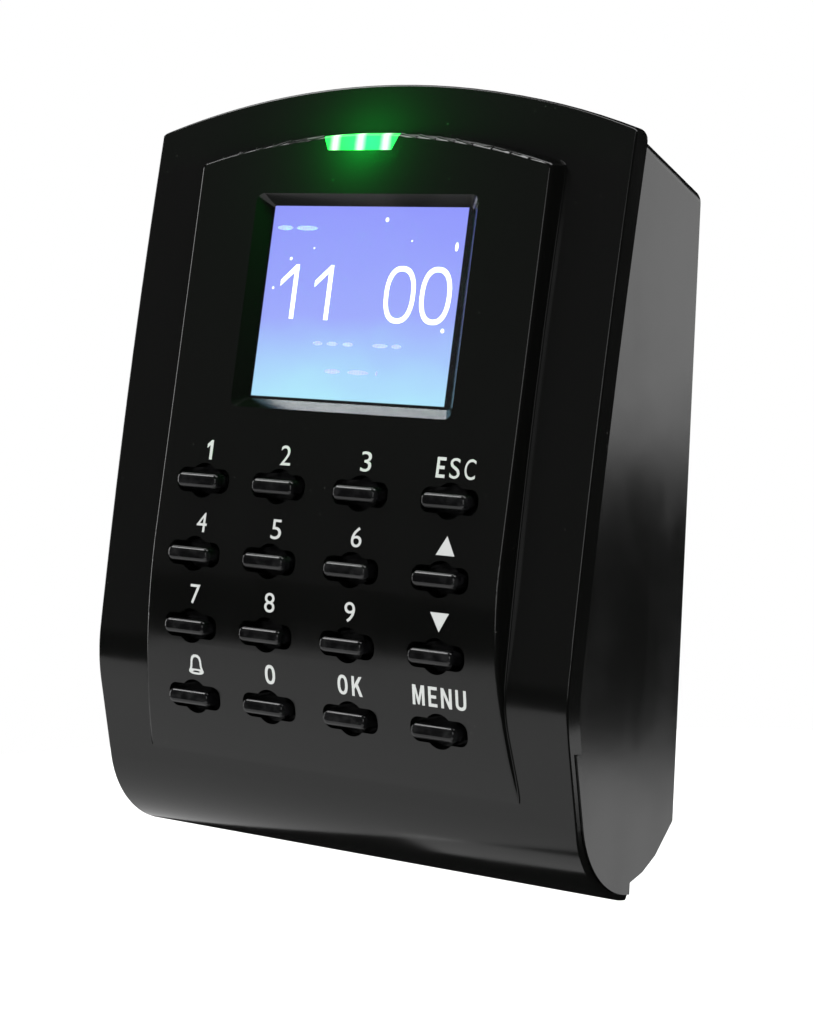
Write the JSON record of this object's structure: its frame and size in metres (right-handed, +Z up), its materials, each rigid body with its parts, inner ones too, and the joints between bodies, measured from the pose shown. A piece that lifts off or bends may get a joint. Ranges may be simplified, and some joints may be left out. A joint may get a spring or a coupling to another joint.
{
  "type": "access control terminal",
  "caption": "Wall-mounted access terminal: arched black case, raised panel with a colour display, green status light and bar keys over a card reader coil",
  "frame": {"origin": "on the wall plane behind the middle of the case, half way up it", "axes": "+Z up the wall, +Y into the wall, -Y out of the terminal's face, +X to the right of a person facing it"},
  "size_m": [0.106, 0.0376, 0.139],
  "materials": {
    "case_plastic": "black ABS, satin gloss",
    "key_plastic": "black ABS, glossy ridge",
    "lens_acrylic": "clear polished acrylic",
    "lcd_glass": "lit colour display",
    "white_diffuser": "white diffuser film",
    "inner_plastic": "moulded black",
    "board_green": "solder-masked board",
    "screw_steel": "zinc plated",
    "light_guide": "translucent, lit green",
    "led_package": "clear epoxy",
    "silicone": "grey silicone",
    "dome_steel": "stamped stainless domes",
    "coil_copper": "enamelled copper winding",
    "chip_black": "moulded epoxy",
    "relay_case": "blue moulded case",
    "capacitor_can": "drawn can",
    "jack_shell": "tinned shell",
    "terminal_green": "moulded terminal block",
    "connector_white": "moulded nylon",
    "cell_steel": "stainless cell case",
    "plunger_plastic": "moulded acetal",
    "flex_film": "polyimide film",
    "bracket_steel": "powder coated sheet"
  },
  "bodies": {
    "root": {"front_cover": "case_plastic", "rear_cover": "case_plastic", "wall_bracket": "bracket_steel", "security_screw": "screw_steel", "case_screws": "screw_steel", "display_lens": "lens_acrylic", "lcd_glass": "lcd_glass", "lcd_backlight": "white_diffuser", "lcd_holder": "inner_plastic", "display_board": "board_green", "display_board_screws": "screw_steel", "light_guide": "light_guide", "status_leds": "led_package", "led_board": "board_green", "keypad_mat": "silicone", "key_domes": "dome_steel", "keypad_board": "board_green", "keypad_board_screws": "screw_steel", "reader_coil": "coil_copper", "main_board": "board_green", "main_board_screws": "screw_steel", "processor_chip": "chip_black", "memory_chips": "chip_black", "lock_relay": "relay_case", "buzzer": "inner_plastic", "capacitors": "capacitor_can", "network_jack": "jack_shell", "lock_terminal": "terminal_green", "power_socket": "connector_white", "cell_holder": "inner_plastic", "coin_cell": "cell_steel", "tamper_switch": "inner_plastic", "keypad_cable": "flex_film", "display_cable": "flex_film"},
    "key_1_body": {"key_1": "key_plastic"},
    "key_2_body": {"key_2": "key_plastic"},
    "key_3_body": {"key_3": "key_plastic"},
    "key_esc_body": {"key_esc": "key_plastic"},
    "key_4_body": {"key_4": "key_plastic"},
    "key_5_body": {"key_5": "key_plastic"},
    "key_6_body": {"key_6": "key_plastic"},
    "key_up_body": {"key_up": "key_plastic"},
    "key_7_body": {"key_7": "key_plastic"},
    "key_8_body": {"key_8": "key_plastic"},
    "key_9_body": {"key_9": "key_plastic"},
    "key_down_body": {"key_down": "key_plastic"},
    "key_bell_body": {"key_bell": "key_plastic"},
    "key_0_body": {"key_0": "key_plastic"},
    "key_ok_body": {"key_ok": "key_plastic"},
    "key_menu_body": {"key_menu": "key_plastic"},
    "tamper_plunger_body": {"tamper_plunger": "plunger_plastic"}
  },
  "joints": [
    {"name": "press_1", "type": "slide", "parent": "root", "child": "key_1_body", "axis": [0, 1, 0], "range_m": [0, 0.0008], "stiffness_N_per_m": 250},
    {"name": "press_2", "type": "slide", "parent": "root", "child": "key_2_body", "axis": [0, 1, 0], "range_m": [0, 0.0008], "stiffness_N_per_m": 250},
    {"name": "press_3", "type": "slide", "parent": "root", "child": "key_3_body", "axis": [0, 1, 0], "range_m": [0, 0.0008], "stiffness_N_per_m": 250},
    {"name": "press_esc", "type": "slide", "parent": "root", "child": "key_esc_body", "axis": [0, 1, 0], "range_m": [0, 0.0008], "stiffness_N_per_m": 250},
    {"name": "press_4", "type": "slide", "parent": "root", "child": "key_4_body", "axis": [0, 1, 0], "range_m": [0, 0.0008], "stiffness_N_per_m": 250},
    {"name": "press_5", "type": "slide", "parent": "root", "child": "key_5_body", "axis": [0, 1, 0], "range_m": [0, 0.0008], "stiffness_N_per_m": 250},
    {"name": "press_6", "type": "slide", "parent": "root", "child": "key_6_body", "axis": [0, 1, 0], "range_m": [0, 0.0008], "stiffness_N_per_m": 250},
    {"name": "press_up", "type": "slide", "parent": "root", "child": "key_up_body", "axis": [0, 1, 0], "range_m": [0, 0.0008], "stiffness_N_per_m": 250},
    {"name": "press_7", "type": "slide", "parent": "root", "child": "key_7_body", "axis": [0, 1, 0], "range_m": [0, 0.0008], "stiffness_N_per_m": 250},
    {"name": "press_8", "type": "slide", "parent": "root", "child": "key_8_body", "axis": [0, 1, 0], "range_m": [0, 0.0008], "stiffness_N_per_m": 250},
    {"name": "press_9", "type": "slide", "parent": "root", "child": "key_9_body", "axis": [0, 1, 0], "range_m": [0, 0.0008], "stiffness_N_per_m": 250},
    {"name": "press_down", "type": "slide", "parent": "root", "child": "key_down_body", "axis": [0, 1, 0], "range_m": [0, 0.0008], "stiffness_N_per_m": 250},
    {"name": "press_bell", "type": "slide", "parent": "root", "child": "key_bell_body", "axis": [0, 1, 0], "range_m": [0, 0.0008], "stiffness_N_per_m": 250},
    {"name": "press_0", "type": "slide", "parent": "root", "child": "key_0_body", "axis": [0, 1, 0], "range_m": [0, 0.0008], "stiffness_N_per_m": 250},
    {"name": "press_ok", "type": "slide", "parent": "root", "child": "key_ok_body", "axis": [0, 1, 0], "range_m": [0, 0.0008], "stiffness_N_per_m": 250},
    {"name": "press_menu", "type": "slide", "parent": "root", "child": "key_menu_body", "axis": [0, 1, 0], "range_m": [0, 0.0008], "stiffness_N_per_m": 250},
    {"name": "tamper_press", "type": "slide", "parent": "root", "child": "tamper_plunger_body", "axis": [0, -1, 0], "range_m": [0, 0.0015], "stiffness_N_per_m": 120}
  ]
}
